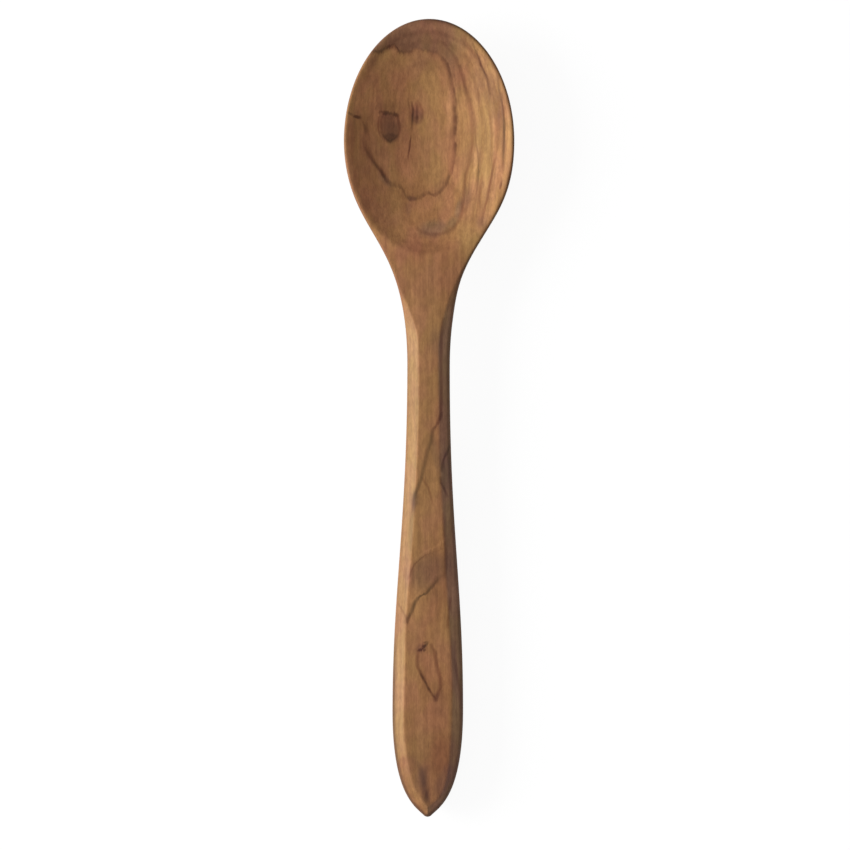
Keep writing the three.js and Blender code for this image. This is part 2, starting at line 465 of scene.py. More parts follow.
# Painted shade on the sides: it stands in for the shade on the right side and the contact shadow along the
# outline
SIDE_SHADE_TINT = (0.36, 0.34, 0.37)
FIBRE = (0.87, 0.855, 0.855)
MOTTLE = (0.86, 0.85, 0.86)
GREENER = (0.98, 1.02, 0.95)
REDDER = (1.02, 0.98, 1.06)
PORE = (0.62, 0.58, 0.60)

# Heart of the bowl: the growth line round it, as angle in degrees, distance in mm and strength
HEART = (-7.0, 111.0)
HEART_LINE = (
    (-180, 17.4, 0.6), (-173, 17.1, 0.55), (-164, 18.3, 0.35), (-157, 19.1, 0.4), (-150, 19.3, 0.75),
    (-136, 20.1, 0.8), (-125, 21.0, 0.75), (-115, 22.7, 0.7), (-108, 24.2, 0.6), (-101, 24.3, 0.5),
    (-96, 25.7, 0.5), (-92, 28.0, 0.45), (-86, 28.5, 0.4), (-80, 27.6, 0.5), (-76, 27.1, 0.6),
    (-72, 28.4, 0.6), (-67, 28.0, 0.55), (-62, 27.0, 0.55), (-54, 24.9, 0.6), (-47, 23.0, 0.65),
    (-36, 20.6, 0.7), (-23, 18.3, 0.75), (-10, 16.9, 0.8), (7, 17.1, 0.75), (24, 18.6, 0.7),
    (37, 20.4, 0.7), (46, 22.4, 0.75), (53, 24.5, 0.75), (60, 26.5, 0.6), (65, 27.2, 0.5),
    (71, 27.7, 0.4), (77, 27.7, 0.35), (86, 27.9, 0.35), (91, 26.7, 0.45), (96, 26.7, 0.6),
    (100, 28.5, 0.85), (103, 29.8, 1.0), (108, 29.8, 0.85), (112, 29.0, 0.65), (116, 30.0, 0.7),
    (126, 31.0, 0.4), (140, 31.0, 0.0), (160, 24.0, 0.0), (172, 19.4, 0.2), (180, 17.4, 0.6),
)
HEART_INNER = 1.9  # how far the line fades into the heart
HEART_OUTER = 1.0  # and how far out of it
HEART_SHADE = 2.8  # width of the dusk inside the line
LINE_CORE = 0.12  # half width of a line's full strength

# Lines on the upper side: reach to the left and to the right, then x, y and strength from the bowl down
DARK_LINES = (
    (0.5, 0.6, ((17.2, 110, 0), (17.7, 103.8, 0.4), (18.3, 99.6, 0.5), (18.5, 95.5, 0.5),
                (18.4, 90.4, 0.45), (18, 84.6, 0.4), (17.2, 78, 0))),
    (0.8, 0.7, ((16.2, 141, 0), (16.8, 139.7, 0.5), (19.1, 134.6, 0.8), (19.8, 132.3, 1.0),
                (21.4, 128.9, 0.8), (22.1, 126.7, 0.6), (22.8, 121, 0.3), (23.2, 115, 0))),
    (0.9, 0.6, ((25.4, 128, 0), (26.1, 124.4, 0.5), (27, 119.7, 0.65), (27.8, 115, 0.75), (28.2, 108, 0.8),
                (28.1, 102.3, 0.7), (28.1, 94.3, 0.4), (27.9, 91.5, 0))),
    (0.8, 0.7, ((-6.9, 119.5, 0), (-6.6, 117.8, 0.7), (-6.3, 115.6, 0.9), (-6.4, 113, 0.9),
                (-6.5, 111, 0.65), (-6.6, 109, 0.4), (-6.8, 107.4, 0))),
    (0.4, 0.4, ((-8.4, 121, 0), (-8.2, 119.4, 0.45), (-7.9, 117.6, 0.45), (-7.7, 115.4, 0))),
    (0.9, 0.8, ((-18.1, 108.4, 0), (-17.5, 106.8, 0.4), (-16.2, 105.3, 0.5), (-15.1, 104.2, 0.5),
                (-14.5, 103.4, 0))),
    (0.8, 0.9, ((-11.3, 108.2, 0), (-11.8, 106.6, 0.4), (-13.2, 105.2, 0.5), (-14.4, 104.2, 0.5),
                (-14.9, 103.4, 0))),
    (2.0, 1.8, ((-24.6, 102.4, 0), (-23.2, 99.6, 0.4), (-20.9, 96, 0.6), (-18.5, 93.1, 0.6),
                (-16.6, 90.3, 0.45), (-15, 88.4, 0))),
    (0.5, 0.5, ((-6.9, 107.2, 0), (-7, 106, 0.6), (-7.3, 103.7, 1), (-7.5, 101.4, 0.9), (-7.9, 98.8, 0.6),
                (-8, 96.5, 0))),
    (1.4, 1.2, ((4.9, 2.6, 0), (4.3, 0.6, 0.7), (3.6, -1.7, 0.8), (2.4, -3.2, 0.8), (1.6, -4.8, 0.75),
                (1.2, -7.4, 0.7), (0.2, -10.8, 0.6), (-1, -15, 0.6), (-2, -20, 0.65), (-2.9, -23.8, 0.7),
                (-4, -26.4, 0.8), (-4.8, -28.4, 0.9), (-5.2, -30.4, 0.9), (-5.5, -33.4, 0.8),
                (-6, -36.8, 0.5), (-6.5, -43, 0.3), (-7.4, -54, 0))),
    (0.9, 0.9, ((8.2, -9.6, 0), (7.3, -11.8, 0.7), (6.2, -14.2, 0.8), (5.2, -17.2, 0.8), (4.9, -20.5, 0))),
    (0.9, 0.9, ((4.2, -21.8, 0), (4.5, -23.6, 0.75), (5.4, -25.6, 0.8), (6.3, -27.4, 0.7), (7.2, -30, 0))),
    (1.6, 1.2, ((5.8, -58.4, 0), (4.6, -59.6, 0.3), (3.2, -61.2, 0.6), (1.3, -63.6, 0.75),
                (-1.1, -66, 0.95), (-3.5, -67.2, 0.9), (-5, -69.4, 0.9), (-6.4, -72.8, 0.95),
                (-7.7, -75.6, 0.9), (-8.1, -77.2, 0))),
    (0.7, 0.6, ((-3.2, -94, 0), (-2.9, -95.2, 0.5), (-1.7, -97.9, 0.8), (0.2, -101.5, 0.7),
                (1.9, -104.1, 0.25), (3, -105.8, 0.1), (3.3, -107.6, 0))),
)
RUSSET_LINES = (
    (1.3, 1.1, ((5.2, 141.8, 0), (6.1, 140.3, 0.5), (8.9, 136.9, 0.6), (10.7, 133.5, 0.6),
                (11.9, 130.1, 0.55), (13.6, 124, 0.6), (15.1, 117, 0.7), (16, 111, 0.75),
                (16.2, 105.9, 0.8), (15.7, 99.6, 0.8), (15.2, 95.5, 0.75), (14.2, 91.3, 0.7),
                (13.6, 86.2, 0.65), (13.2, 82.1, 0.5), (12.6, 77, 0))),
    (1.0, 0.8, ((25, 98.5, 0), (24.2, 94.6, 0.7), (23.4, 90.4, 0.9), (22.6, 86.2, 0.9), (21.8, 82.1, 0.95),
                (20.9, 78.7, 0.9), (20.4, 76.2, 0.6), (19.4, 72, 0))),
    (0.9, 0.8, ((19.8, 95, 0), (19.7, 91, 0.5), (19.4, 87, 0.7), (19, 83, 0.7), (18.3, 78, 0.5),
                (17.6, 73, 0))),
    (0.6, 0.6, ((27.6, 89.5, 0), (27.2, 87.5, 0.9), (26.9, 86, 0))),
    (0.8, 0.7, ((-18.8, 113.8, 0), (-19, 112, 0.8), (-19.2, 110, 0.8), (-18.8, 107.6, 0.6),
                (-18.2, 105.8, 0))),
    (1.0, 0.8, ((-6.3, 120.8, 0), (-4.4, 119.5, 0.3), (-3, 117.1, 0.4), (-2.3, 114.3, 0.4),
                (-2.9, 112, 0.3), (-3.8, 110.4, 0))),
    (0.8, 0.7, ((-5.4, 119.4, 0), (-5, 117.8, 0.4), (-4.8, 115.4, 0.5), (-4.5, 113, 0.7),
                (-4.8, 111.2, 0))),
    (0.9, 0.8, ((-16.8, 114.8, 0), (-17.7, 112.8, 0.6), (-18, 110.6, 0.7), (-17.9, 108.6, 0.6),
                (-17.4, 106.4, 0))),
    (0.8, 0.7, ((-12.6, 114.6, 0), (-11.8, 112.6, 0.8), (-11.3, 110.4, 0.8), (-11.2, 108.4, 0.6),
                (-11.7, 106.4, 0))),
    (0.9, 1.3, ((5.4, 38, 0), (4.9, 31, 0.8), (4.6, 20, 0.8), (4.5, 10, 0.8), (4.4, 3, 1), (4, -1, 0))),
    (1.1, 0.9, ((5.5, -35, 0), (5.8, -38, 0.5), (6.4, -46, 0.7), (6.8, -52, 0.8), (6.6, -57, 0.6),
                (6.2, -60.5, 0))),
    (0.8, 0.8, ((-2.2, -22, 0), (-1.5, -23.4, 0.6), (0, -26.2, 0.7), (1.2, -29.6, 0.6), (2, -33, 0))),
    (0.7, 0.7, ((7, -47.8, 0), (4.6, -49.5, 0.4), (2, -50.4, 0.5), (-0.8, -51.4, 0.6), (-3, -53, 0.65),
                (-5, -54.9, 0.7), (-6.6, -58, 0.6), (-7.6, -61, 0))),
    (0.7, 0.7, ((-11.4, -69.4, 0), (-10.7, -70.8, 0.5), (-9.3, -73.2, 0.6), (-8.1, -76.1, 0.7),
                (-7.9, -78, 0))),
    (1.0, 0.9, ((8.3, -67, 0), (8, -70.8, 0.9), (7.7, -73, 0.5), (7.5, -75.2, 0.9), (7.2, -79, 0))),
    (1.2, 1.1, ((-3.4, -87, 0), (-3.8, -89, 0.8), (-4, -91.7, 0.8), (-3.1, -94.7, 1), (-1.7, -97.9, 1),
                (0.2, -101.5, 1), (1.9, -104.1, 1), (2.9, -105.2, 1), (3.1, -106.4, 0))),
    (1.3, 1.1, ((0.9, -84.6, 0), (1.6, -86.2, 0.8), (2.4, -88, 1), (3.1, -91.7, 0.9), (3.9, -95.1, 0.9),
                (4.6, -99.8, 1), (4.1, -102.6, 1), (3.3, -105, 1), (3, -106.6, 0))),
    (1.0, 1.0, ((10, -90, 0), (10.4, -93.5, 0.6), (10.9, -96.9, 0.7), (11.6, -101.7, 0.7),
                (12.1, -105.5, 0.6), (12.2, -110, 0))),
)
SLATE_LINES = (
    (2.6, 2.3, ((-5.4, -126.6, 0), (-3.6, -129.8, 0.4), (-1.7, -134, 0.75), (-0.9, -138.1, 0.9),
                (-0.2, -142.4, 0.95), (0.3, -144.8, 0.6), (0.6, -147.6, 0))),
    (1.6, 1.4, ((9.4, -82, 0), (9.6, -87, 0.4), (10, -92, 0.5), (10.4, -98, 0.4), (10.4, -106, 0))),
)
PALE_LINES = (
    (0.5, 0.5, ((-5.9, 117.8, 0), (-5.3, 116.8, 0.9), (-5.2, 115, 0.9), (-5.4, 113.4, 0))),
    (0.6, 0.6, ((28.3, 100, 0), (28.1, 96, 0.7), (27.7, 91, 0.6), (27.2, 88.5, 0))),
    (0.7, 0.7, ((25.6, 93, 0), (24.9, 88, 0.7), (24, 82, 0.7), (22.8, 76, 0))),
    (0.6, 0.6, ((21.3, 95, 0), (21, 90, 0.6), (20.5, 85, 0.6), (19.8, 79, 0))),
    (1.4, 1.4, ((7, -44.4, 0), (6, -45.7, 0.6), (4.1, -47.6, 0.7), (1.7, -49, 0.7), (-1.2, -50.4, 0.6),
                (-4, -52.2, 0.5), (-6.7, -54, 0.3), (-7.6, -55, 0))),
    (1.2, 1.0, ((3.4, -58.2, 0), (2, -60, 0.5), (-0.6, -63, 0.6), (-3.4, -65.6, 0.6), (-5.4, -68.2, 0.4),
                (-6.4, -70.4, 0))),
    (0.9, 0.8, ((22.6, 122, 0), (23.9, 117, 0.6), (24.6, 110, 0.7), (24.8, 102, 0.6), (24.2, 96, 0))),
    (0.8, 0.7, ((17, 103, 0), (17.4, 98, 0.6), (17.2, 92, 0.7), (16.6, 87, 0.6), (15.6, 82, 0))),
)

# Soft spots on the upper side: x, y, radius across, radius along, turn in degrees and strength
TAN_SPOTS = (
    (24.0, 121.0, 4.6, 20.0, 20, 0.9),
    (13.0, 71.0, 11.0, 10.0, 0, 0.3),
    (-15.4, 116.8, 6.0, 4.0, 0, 0.85),
    (-27.8, 107.0, 2.0, 8.0, 0, 0.5),
    (0.0, 134.0, 10.0, 6.5, -12, 1.0),
    (-18.6, 101.0, 5.0, 6.0, 25, 0.6),
    (-23.6, 94.0, 3.0, 9.0, 28, 0.3),
    (4.2, 87.4, 5.0, 3.0, 40, 0.8),
    (-9.2, 106.0, 1.8, 6.5, 0, 0.6),
    (-2.0, 66.0, 17.0, 5.6, 0, 0.45),
    (0.0, -130.0, 12.0, 20.0, 0, 0.5),
    (13.4, 141.6, 6.4, 5.4, 0, 1.0),
    (-21.6, 135.0, 4.0, 5.0, -40, 0.9),
    (12.0, 130.0, 16.0, 14.0, 0, 0.6),
    (18.6, 127.0, 6.0, 9.0, 0, 0.9),
    (-13.0, 112.0, 8.0, 12.0, 0, 0.5),
    (5.5, 77.0, 4.0, 4.0, 0, 0.6),
    (4.0, -106.0, 5.0, 9.0, 0, 0.7),
)
ROSE_SPOTS = (
    (-4.6, 115.0, 4.2, 6.0, 0, 0.9),
    (-20.0, 87.0, 13.0, 16.0, 30, 0.35),
    (-29.6, 104.0, 2.6, 13.0, 0, 1.0),
    (12.0, 132.0, 7.0, 12.0, -30, 0.6),
    (16.0, 80.0, 7.0, 14.0, 0, 0.6),
    (0.0, 62.0, 22.0, 7.0, 0, 0.4),
    (7.0, -101.0, 4.0, 9.0, 0, 0.4),
    (4.5, -127.0, 7.0, 12.0, -10, 1.0),
    (-9.6, -129.4, 2.2, 4.0, -15, 0.9),
)
MAUVE_SPOTS = (
    (-4.4, 113.6, 3.4, 3.6, 0, 0.8),
    (-14.0, 108.4, 4.4, 5.0, 0, 0.5),
    (-4.2, 112.2, 2.6, 2.0, 0, 0.7),
    (19.9, 73.6, 3.0, 3.0, 0, 0.6),
    (14.4, 83.4, 2.2, 6.0, -8, 0.7),
    (-7.6, 79.0, 1.8, 4.4, 0, 0.6),
    (-6.4, 82.6, 3.0, 1.4, 0, 0.8),
    (2.8, 29.0, 3.4, 7.5, 0, 0.7),
    (2.8, -14.0, 2.4, 10.0, 14, 0.6),
    (-5.2, -30.5, 2.6, 5.0, 0, 0.9),
    (6.6, -19.0, 2.6, 12.0, 0, 0.8),
    (0.0, -57.6, 13.0, 8.6, 33, 1.0),
    (2.6, -66.0, 4.0, 4.0, 0, 0.3),
    (6.4, -136.0, 4.0, 10.0, -22, 0.9),
    (-2.2, -135.0, 3.4, 7.0, -20, 0.7),
)
SMOKE_SPOTS = (
    (2.0, 71.4, 8.4, 4.6, 8, 0.8),
    (8.6, 73.6, 4.4, 2.4, 42, 0.6),
    (11.2, 78.6, 1.8, 6.0, -14, 0.7),
    (-16.4, 89.4, 4.6, 2.0, -40, 0.5),
)
KNOT_SPOTS = (
    (-14.8, 109.6, 5.4, 7.6, 0, 0.75),
    (-14.7, 106.0, 4.4, 3.0, 0, 0.9),
    (-5.8, 114.6, 2.4, 5.0, 0, 0.5),
    (-15.2, 113.4, 4.0, 2.4, 0, 0.9),
    (-2.4, -86.2, 3.2, 2.2, 35, 0.7),
    (3.0, -104.6, 1.7, 2.4, -12, 0.5),
)
DARK_SPOTS = (
    (-16.2, 114.7, 2.0, 1.3, 0, 0.85),
    (-15.9, 115.0, 4.2, 1.0, -3, 0.75),
    (-12.7, 114.3, 1.9, 1.1, -35, 0.8),
    (-14.7, 106.1, 4.4, 1.7, 0, 0.45),
    (-14.7, 104.7, 2.0, 2.0, 0, 0.65),
    (-4.6, 113.3, 1.0, 1.1, 20, 0.4),
    (-0.1, -141.8, 1.2, 3.4, -8, 0.5),
    (-27.2, 113.2, 2.2, 1.0, -12, 1.0),
    (-29.4, 114.2, 2.0, 0.8, -28, 0.6),
    (-2.8, -86.9, 1.9, 0.8, 28, 1.0),
    (-1.5, -85.6, 1.6, 0.85, 46, 0.95),
    (-0.4, -84.6, 1.2, 0.8, 52, 0.7),
    (-0.9, -84.0, 1.3, 0.6, 12, 0.6),
    (-1.5, -87.1, 0.9, 0.7, 0, 0.7),
)
SPOT_CORE = 0.3  # share of a spot's radius that has its full strength

# Arcs beside the heart: like the spots, with the strength at the turned oval's lower and at its upper end
ARCS = (
    (2.4, 79.0, 10.2, 9.8, 38, 0.6, 0.0),
    (-1.0, 118.6, 24.5, 26.6, 0, 0.0, 0.4),
    (-0.5, 116.6, 21.0, 25.2, -8, 0.0, 0.3),
)
ARC_WIDTH = 1.3  # to each side
ARC_FADE = 0.9  # share of the oval's reach over which its strength changes

# Light spots, written as the soft spots are
LIGHT_SPOTS = (
    (-23.5, 120.0, 6.0, 10.0, -12, 1.0),
    (-8.0, 91.6, 5.0, 6.0, 0, 0.8),
    (7.6, 116.0, 1.8, 14.0, -4, 0.8),
    (10.6, 91.0, 3.4, 8.0, 10, 0.7),
    (-3.0, 79.0, 6.0, 4.0, 0, 0.6),
    (29.6, 108.0, 1.8, 14.0, 0, 0.8),
    (27.0, 94.0, 3.0, 9.0, 8, 0.6),
    (-5.0, 58.0, 5.0, 5.0, 0, 0.5),
    (-2.0, 146.6, 11.0, 3.0, 0, 0.9),
    (0.4, -95.0, 2.6, 8.0, 8, 0.7),
    (0.0, -92.0, 9.0, 30.0, 0, 0.4),
    (-9.0, 70.0, 12.0, 14.0, 0, 0.6),
    (-9.6, 55.0, 4.0, 9.0, 25, 0.8),
    (-6.0, 44.0, 3.6, 9.0, 12, 0.9),
    (-2.5, 37.0, 4.0, 6.0, 0, 0.7),
    (-5.2, -70.0, 4.0, 18.0, 5, 0.9),
    (10.5, -67.0, 3.0, 9.0, 0, 0.7),
    (0.0, -40.0, 7.0, 16.0, 0, 0.15),
    (-18.0, 106.0, 15.0, 28.0, 0, 0.35),
)

# Growth layers elsewhere: circles round the tree's middle, which slants along under the spoon
PITH_X = -12.0
PITH_Z = -40.0
PITH_LEAN = 0.04  # sideways for each mm along
PITH_RISE = 0.07  # and upwards
LAYER = 5.2  # thickness of a year's growth
LAYER_WARP = 5.0
LAYER_POWER = 7.0  # how late in the year the wood darkens
LAYER_BREAK = (0, 0.08, 1, 0)  # how soon the new year is pale again
LAYER_STRENGTH = (0, 1, 0.8, 0.1)  # on the sides and the back, and on the upper side

# Noise: size of its blots across, along and up, and how many finer layers it has
LAYER_NOISE = (26, 120, 26), 1
COARSE_NOISE = (1.3, 30, 1.3), 2
FINE_NOISE = (0.5, 12, 0.5), 2
MOTTLE_NOISE = (1.5, 3.4, 1.5), 2
FLECK_NOISE = (0.45, 1.2, 0.45), 1
PORE_NOISE = (0.34, 4.5, 0.34), 1
DRIFT_NOISE = (9, 22, 9), 0
TONE_NOISE = (6, 12, 6), 1
CLOUD_NOISE = (12, 45, 12), 1
STREAK_NOISE = (1.7, 30, 1), 1
PATCH_NOISE = (2.6, 3.4, 2.6), 0

# Where in the noise a tint sets in: from, to, and its strength at either end where that isn't 0 and 1
PORE_SPAN = (0.60, 0.72)
TONE_SPAN = (0.34, 0.66)
CLOUD_SPAN = (0.35, 0.65)
BROKEN_SPAN = (0.3, 0.6, 0.7, 1.0)
PATCH_SPAN = (0.35, 0.6, 0.5, 1.0)
STREAK_DARK = (0.55, 0.35, 0, 0.4)
STREAK_PALE = (0.5, 0.7, 0, 0.4)
MOTTLE_SPAN = (0.65, 0.35)
FLECK_SPAN = (0.65, 0.35, 0, 0.6)
COARSE_SPAN = (0.62, 0.36)
FINE_SPAN = (0.62, 0.38, 0, 0.4)
ROUGHNESS = (0.3, 0.7, 0.58, 0.74)  # over the fine fibres, in place of a strength

# Where on the spoon a tint sets in, in the same way
UPPER_SPAN = (0.3, 0.9)  # of the mesh's mark
CROWN_ALONG = (122, 140)
CROWN_ACROSS = (16, 6)
STRAW_ACROSS = (2, 14)
BLUSH_ALONG = (54, 70)
CREST_RISE = (0, 0.5)  # of the mesh's mark
CREST_FALL = (0.5, 1, 1, 0)
CHAMFERS_ACROSS = (-2, 2)
AMBER_ALONG = (-112, -140)
AMBER_ACROSS = (1, -1)
# Where the painted shade on the sides sets in: towards the bowl, towards the point, and all down the right
# side
SIDE_SHADE_BOWL = (40, 75, 0.25, 0.55)
SIDE_SHADE_POINT = (-58, -105, 0, 0.9)
SIDE_SHADE_RIGHT = (-4, 4, 0, 0.8)
HEEL_RISE = (0.78, 0.97)  # in shares of the hollow's reach
HEEL_FALL = (0.97, 1.02, 1, 0)
HEEL_ALONG = (84, 70)
STREAK_ACROSS = (6, 14)
STREAK_ALONG = (66, 76)

# Strengths, how far noise shifts what is drawn, and the surface
HEEL_STRENGTH = 0.2
DUSK_STRENGTH = 0.35
PORE_STRENGTH = 0.35
DRIFT_REACH = 1.0
MOTTLE_REACH = 0.5
FEATHER = 1.6
HEART_FEATHER = 2.2
PORE_DEPTH = -0.6  # against the fibres' height
BUMP_STRENGTH = 0.3
BUMP_HEIGHT = 0.05 * MM
GLOSS = 0.16


def middle(graph, y, points):
    """First value of the points at each y, which is their second value."""
    start, end = points[0][1], points[-1][1]
    along = graph.span(y, start, end, ease="LINEAR")
    return graph.curve(along, [((point[1] - start) / (end - start), point[0]) for point in points])


def stroke(graph, x, y, left, right, points):
    """Mask of a line through points (x, y, strength), fading to each side."""
    off = graph.math("SUBTRACT", x, middle(graph, y, points))
    strength = middle(graph, y, [(depth, at) for _, at, depth in points])
    from_left = graph.span(off, -left, -LINE_CORE)
    from_right = graph.span(off, LINE_CORE, right, 1, 0)
    return graph.product(from_left, from_right, strength)


def oval(graph, flat, x, y, across, along, turn):
    """How far a place lies from an oval's middle along the oval, and in all: 1 at the oval's edge."""
    cos, sin = math.cos(math.radians(turn)), math.sin(math.radians(turn))
    off = graph.add("VectorMath", {0: flat, 1: (x, y, 0)}, operation="SUBTRACT")
    aside = graph.dot(off, (cos / across, sin / across, 0))
    ahead = graph.dot(off, (-sin / along, cos / along, 0))
    return ahead, graph.length(aside, ahead)


def spot(graph, flat, *shape, strength):
    """Mask of a soft oval."""
    _, distance = oval(graph, flat, *shape)
    return graph.span(distance, SPOT_CORE, 1, strength, 0)


def arc(graph, flat, *shape, low, high):
    """Mask of a soft oval's edge, whose strength changes from its lower to its upper end."""
    ahead, distance = oval(graph, flat, *shape)
    width = ARC_WIDTH / shape[2]
    strength = graph.span(ahead, -ARC_FADE, ARC_FADE, low, high)
    from_inside = graph.span(distance, 1 - width, 1)
    from_outside = graph.span(distance, 1, 1 + width, 1, 0)
    return graph.product(from_inside, from_outside, strength)


def heart(graph, x, y):
    """Masks of the line round the bowl's heart, of the dusk inside it and of what lies outside it."""
    across = graph.math("SUBTRACT", x, HEART[0])
    along = graph.math("SUBTRACT", y, HEART[1])
    turn = graph.span(graph.math("ARCTAN2", along, across), -math.pi, math.pi, ease="LINEAR")
    distance = graph.length(across, along)
    edge = graph.curve(turn, [(angle / 360 + 0.5, reach) for angle, reach, _ in HEART_LINE])
    strength = graph.curve(turn, [(angle / 360 + 0.5, depth) for angle, _, depth in HEART_LINE])
    off = graph.math("SUBTRACT", distance, edge)
    from_inside = graph.span(off, -HEART_INNER, -LINE_CORE)
    from_outside = graph.span(off, LINE_CORE, HEART_OUTER, 1, 0)
    line = graph.product(from_inside, from_outside, strength)
    dusk = graph.product(graph.span(off, -HEART_SHADE, 0), from_outside, strength)
    return line, dusk, graph.span(off, -HEART_OUTER, HEART_OUTER)


def growth_layers(graph, place, x, y, z):
    """Mask that darkens towards the end of each year's growth and breaks off sharply there."""
    bend = graph.noise(place, *LAYER_NOISE)
    across = graph.math("SUBTRACT", x, graph.math("MULTIPLY_ADD", y, PITH_LEAN, PITH_X))
    up = graph.math("SUBTRACT", z, graph.math("MULTIPLY_ADD", y, PITH_RISE, PITH_Z))
    distance = graph.length(across, up)
    year = graph.math("FRACT", graph.math("DIVIDE", graph.shifted(distance, bend, LAYER_WARP), LAYER))
    return graph.math("MAXIMUM", graph.math("POWER", year, LAYER_POWER), graph.span(year, *LAYER_BREAK))


class Teak(Graph):
    """Lays the wood's colour on as one tint over another, from the broad ones to the fibres."""

    def __init__(self, tree):
        super().__init__(tree)
        metres = self.add("TexCoord", {}, "Object")
        self.place = self.add("VectorMath", {0: metres, 1: [1 / MM] * 3}, operation="MULTIPLY")
        split = self.node("SeparateXYZ", {0: self.place}).outputs
        self.x, self.y, self.z = split["X"], split["Y"], split["Z"]
        self.marks = {name: self.add("Attribute", {}, "Fac", attribute_name=name) for name in MARKS}
        self.upper = self.span(self.marks["upper"], *UPPER_SPAN)
        self.coarse = self.noise(self.place, *COARSE_NOISE)
        self.fine = self.noise(self.place, *FINE_NOISE)
        self.mottle = self.noise(self.place, *MOTTLE_NOISE)
        self.fleck = self.noise(self.place, *FLECK_NOISE)
        self.pores = self.span(self.noise(self.place, *PORE_NOISE), *PORE_SPAN)
        drift = self.noise(self.place, *DRIFT_NOISE)
        self.tone = self.span(self.noise(self.place, *TONE_NOISE), *TONE_SPAN)
        self.drawn_x = self.shifted(self.shifted(self.x, drift, DRIFT_REACH), self.mottle, MOTTLE_REACH)
        self.drawn_y = self.shifted(self.y, self.fine, FEATHER)
        self.flat = self.add("CombineXYZ", {"X": self.drawn_x, "Y": self.drawn_y})
        self.colour = self.blend(GOLD, RUST, self.span(self.noise(self.place, *CLOUD_NOISE), *CLOUD_SPAN))
        heart_y = self.shifted(self.y, self.fine, HEART_FEATHER)
        self.heart_line, self.dusk, outside = heart(self, self.drawn_x, heart_y)
        self.outside = self.product(outside, self.upper)

    def tint(self, colour, *masks):
        """Multiplies the colour so far by another where all the masks are 1."""
        self.colour = self.stain(self.colour, self.product(*masks), colour)

    def broad_tints(self):
        """The bowl's crown and right side, the handle, its chamfers with painted sheen and shade, wear with
        a painted highlight on their edges, and painted shade on the sides.
        """
        crown_along = self.span(self.drawn_y, *CROWN_ALONG)
        self.tint(BROWN, self.outside, crown_along, self.span(self.drawn_x, *CROWN_ACROSS))
        self.tint(STRAW, self.outside, self.span(self.drawn_x, *STRAW_ACROSS))
        self.tint(self.blend(TAN, BLUSH, self.span(self.drawn_y, *BLUSH_ALONG)), 1.0)
        chamfer = self.product(self.marks["chamfer"], self.upper)
        crest = self.product(self.span(chamfer, *CREST_RISE), self.span(chamfer, *CREST_FALL))
        # Painted sheen on the lit left chamfer and painted shade on the shaded right chamfer
        self.tint(self.blend(LIT_CHAMFER_SHEEN, SHADED_CHAMFER_TINT, self.span(self.x, *CHAMFERS_ACROSS)), chamfer)
        self.tint(AMBER, chamfer, self.span(self.y, *AMBER_ALONG), self.span(self.x, *AMBER_ACROSS))
        # Wear and a painted highlight along each chamfer's crest
        self.tint(WEAR_AND_HIGHLIGHT, crest)
        # Painted shade and painted contact shadow on the sides, which darken the outline
        left = self.math("MAXIMUM", self.span(self.y, *SIDE_SHADE_BOWL), self.span(self.y, *SIDE_SHADE_POINT))
        painted_side_shade = self.math("MAXIMUM", left, self.span(self.x, *SIDE_SHADE_RIGHT))
        self.tint(SIDE_SHADE_TINT, self.marks["side"], painted_side_shade)
        self.tint(self.blend(GREENER, REDDER, self.tone), 1.0)
        self.dark = self.blend(MOSS, UMBER, self.tone)

    def soft_marks(self):
        """Spots, the shade on the hollow's heel and the arcs beside the heart."""
        groups = (
            (TAN, TAN_SPOTS), (ROSE, ROSE_SPOTS), (MAUVE, MAUVE_SPOTS), (SMOKE, SMOKE_SPOTS),
            (KNOT, KNOT_SPOTS), (self.dark, DARK_SPOTS), (PALE, LIGHT_SPOTS),
        )
        for colour, spots in groups:
            masks = (spot(self, self.flat, *shape, strength=strength) for *shape, strength in spots)
            self.tint(colour, self.largest(masks), self.upper)
        _, hollow = oval(self, self.place, 0, HOLLOW_MIDDLE, BOWL_HALF - RIM_SIDE, HOLLOW_HALF, 0)
        heel = self.product(self.span(hollow, *HEEL_RISE), self.span(hollow, *HEEL_FALL),
                            self.span(self.y, *HEEL_ALONG))
        self.tint(RUSSET, heel, self.upper, HEEL_STRENGTH)
        self.broken = self.span(self.mottle, *BROKEN_SPAN)
        arcs = (arc(self, self.flat, *shape, low=low, high=high) for *shape, low, high in ARCS)
        self.tint(RUSSET, self.largest(arcs), self.upper, self.broken)

    def growth_marks(self):
        """Streaks beside the heart, which follow the growth line there, growth layers and all lines."""
        bent = self.math("SUBTRACT", self.x, middle(self, self.y, RUSSET_LINES[0][2]))
        streaks = self.noise(self.add("CombineXYZ", {"X": bent, "Y": self.y}), *STREAK_NOISE)
        beside = self.product(self.outside, self.span(self.x, *STREAK_ACROSS),
                              self.span(self.y, *STREAK_ALONG))
        self.tint(RUSSET, beside, self.span(streaks, *STREAK_DARK))
        self.tint(PALE, beside, self.span(streaks, *STREAK_PALE))
        layers = growth_layers(self, self.place, self.x, self.y, self.z)
        self.tint(UMBER, layers, self.span(self.upper, *LAYER_STRENGTH), self.broken)
        self.tint(RUSSET, self.dusk, self.upper, DUSK_STRENGTH)
        patchy = self.span(self.noise(self.place, *PATCH_NOISE), *PATCH_SPAN)
        self.tint(self.dark, self.heart_line, self.upper, patchy)
        groups = (
            (self.dark, DARK_LINES), (RUSSET, RUSSET_LINES), (SLATE, SLATE_LINES), (PALE, PALE_LINES),
        )
        for colour, lines in groups:
            strokes = (stroke(self, self.drawn_x, self.drawn_y, *line) for line in lines)
            self.tint(colour, self.largest(strokes), self.upper, self.broken)

